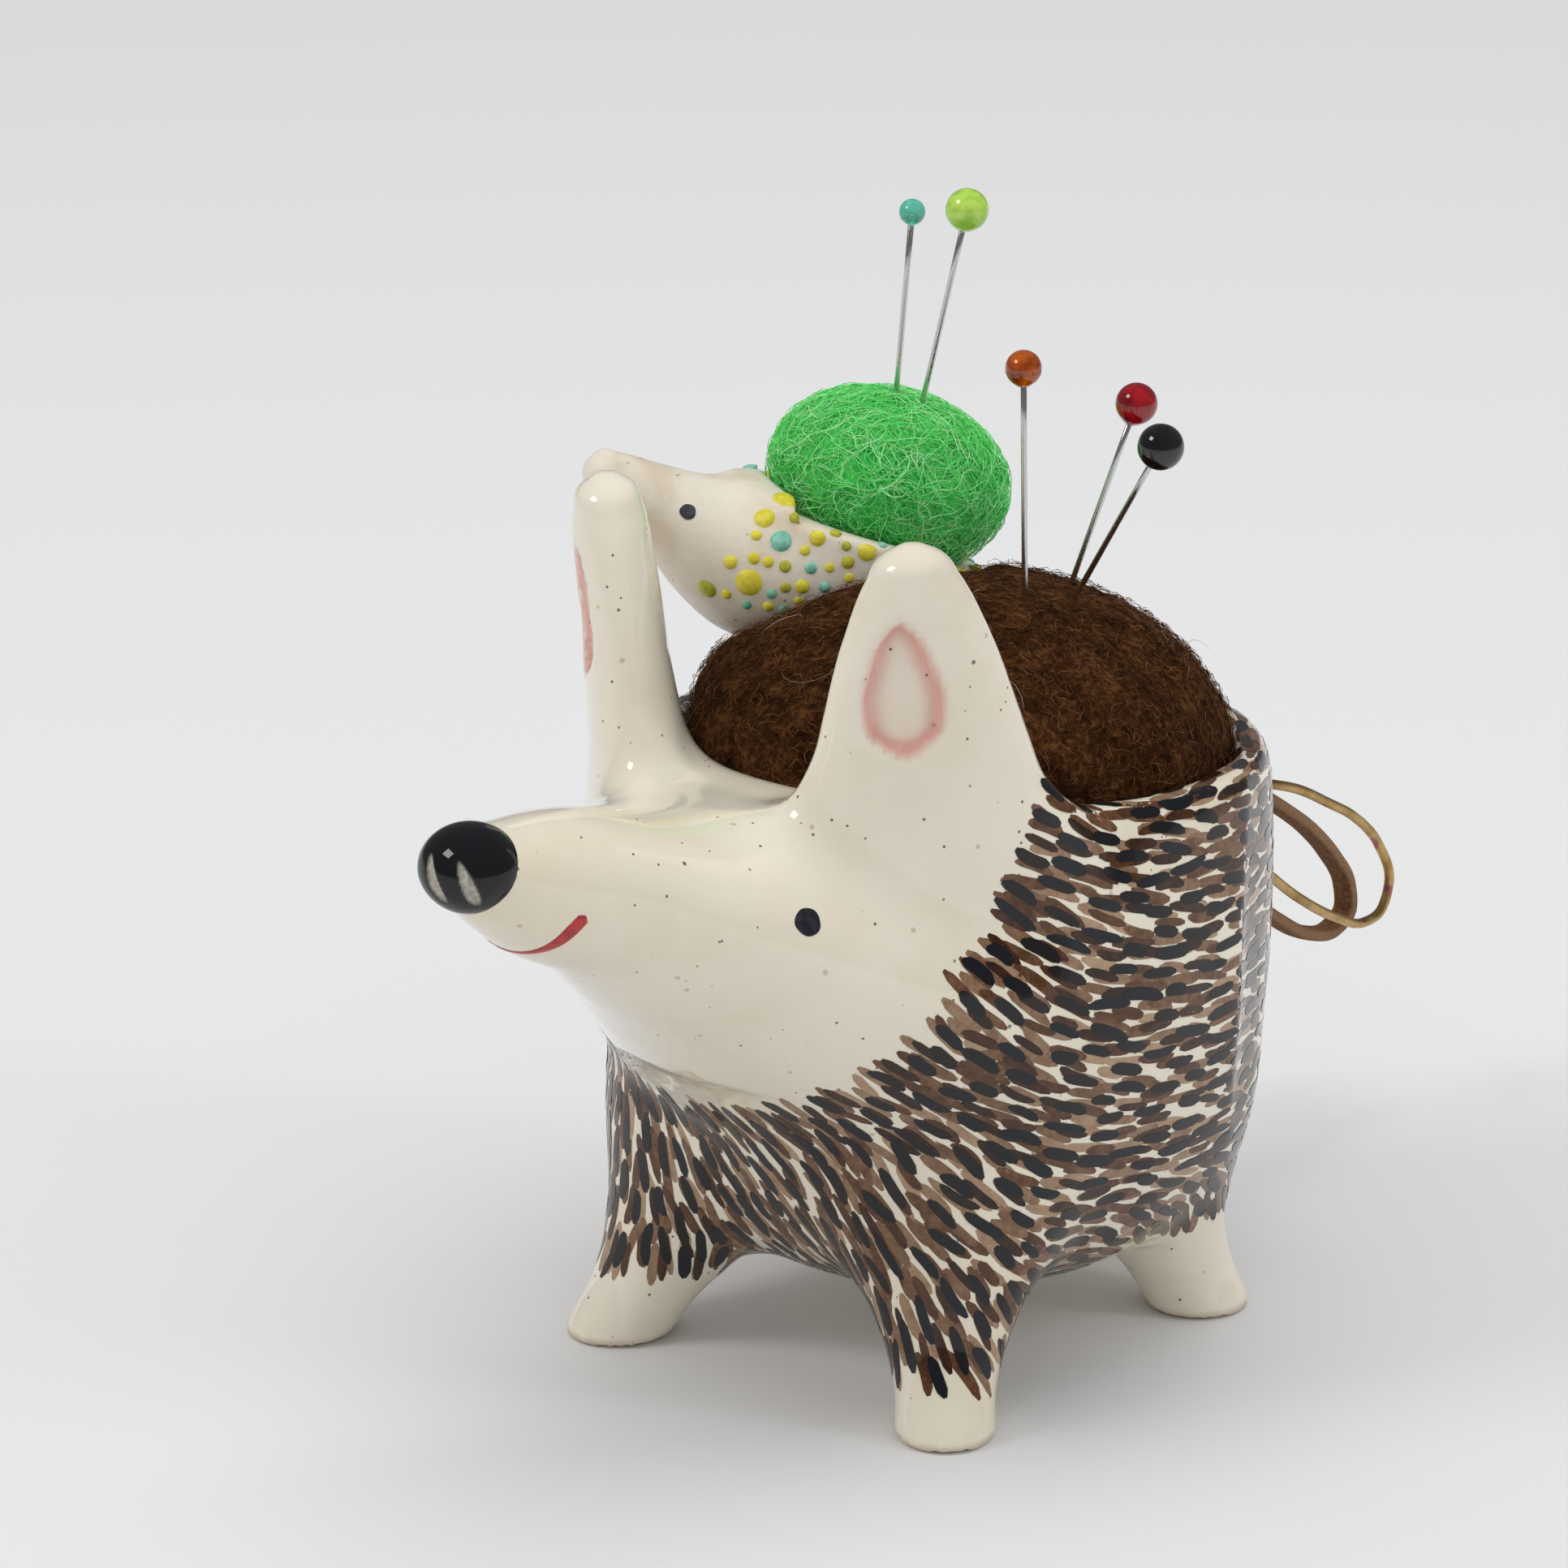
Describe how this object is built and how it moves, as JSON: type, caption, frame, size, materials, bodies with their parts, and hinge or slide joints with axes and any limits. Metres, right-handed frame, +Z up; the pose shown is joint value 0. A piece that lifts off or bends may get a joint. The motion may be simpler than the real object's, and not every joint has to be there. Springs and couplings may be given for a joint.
{
  "type": "hedgehog pincushion",
  "caption": "Glazed stoneware hedgehog on four feet whose body is a pot holding a domed wool cushion, with a baby hedgehog and pins in the wool and a tail of wire and lace.",
  "frame": {"origin": "on the ground, at the middle of the footprint of everything but the suede lace", "axes": "+Z up; the hedgehog faces -Y; its left side is +X"},
  "size_m": [0.0546, 0.1283, 0.0946],
  "materials": {
    "glazed_stoneware": "clear gloss glaze over cream clay with fine iron specks and painted quills",
    "bisque_clay": "matt cream clay with raised yellow-green and teal dots",
    "brown_wool": "fulled brown wool knit with a fuzzy surface",
    "green_wool": "needle-felted green wool with loose fibres",
    "stuffing": "packed fibre filling",
    "thread": "twisted sewing thread",
    "glue": "set craft glue",
    "bronze_wire": "dark patina with coloured spots",
    "suede": "napped brown suede",
    "pin_steel": "nickel-plated steel",
    "glass_amber": "clear amber glass",
    "glass_teal": "clear teal glass",
    "glass_lime": "opaque lime glass",
    "glass_red": "opaque dark red glass",
    "glass_black": "opaque black glass"
  },
  "bodies": {
    "root": {"mother_body": "glazed_stoneware", "cushion_cover": "brown_wool", "cushion_stuffing": "stuffing", "gathering_thread": "thread", "cushion_glue": "glue", "tail_lace": "suede", "tail_knot": "suede"},
    "baby": {"baby_body": "bisque_clay", "baby_wool_ball": "green_wool"},
    "tail_loop": {"tail_wire": "bronze_wire"},
    "pin_amber": {"pin_shaft_amber": "pin_steel", "pin_head_amber": "glass_amber"},
    "pin_red": {"pin_shaft_red": "pin_steel", "pin_head_red": "glass_red"},
    "pin_black": {"pin_shaft_black": "pin_steel", "pin_head_black": "glass_black"},
    "pin_teal": {"pin_shaft_teal": "pin_steel", "pin_head_teal": "glass_teal"},
    "pin_lime": {"pin_shaft_lime": "pin_steel", "pin_head_lime": "glass_lime"}
  },
  "joints": [
    {"name": "baby_lift", "type": "slide", "parent": "root", "child": "baby", "axis": [0, 0, 1], "range_m": [0, 0.015]},
    {"name": "tail_swing", "type": "hinge", "parent": "root", "child": "tail_loop", "pos_m": [0.0018, 0.02716, 0.037], "axis": [1, 0, 0], "range_deg": [0, 22]},
    {"name": "amber_pull", "type": "slide", "parent": "root", "child": "pin_amber", "axis": [0.075, -0.126, 0.9892], "range_m": [0, 0.01]},
    {"name": "red_pull", "type": "slide", "parent": "root", "child": "pin_red", "axis": [0.306, 0.098, 0.947], "range_m": [0, 0.014]},
    {"name": "black_pull", "type": "slide", "parent": "root", "child": "pin_black", "axis": [0.5781, -0.236, 0.7811], "range_m": [0, 0.01]},
    {"name": "teal_pull", "type": "slide", "parent": "baby", "child": "pin_teal", "axis": [0.1479, -0.068, 0.9867], "range_m": [0, 0.014]},
    {"name": "lime_pull", "type": "slide", "parent": "baby", "child": "pin_lime", "axis": [0.28, -0.044, 0.959], "range_m": [0, 0.013]}
  ]
}
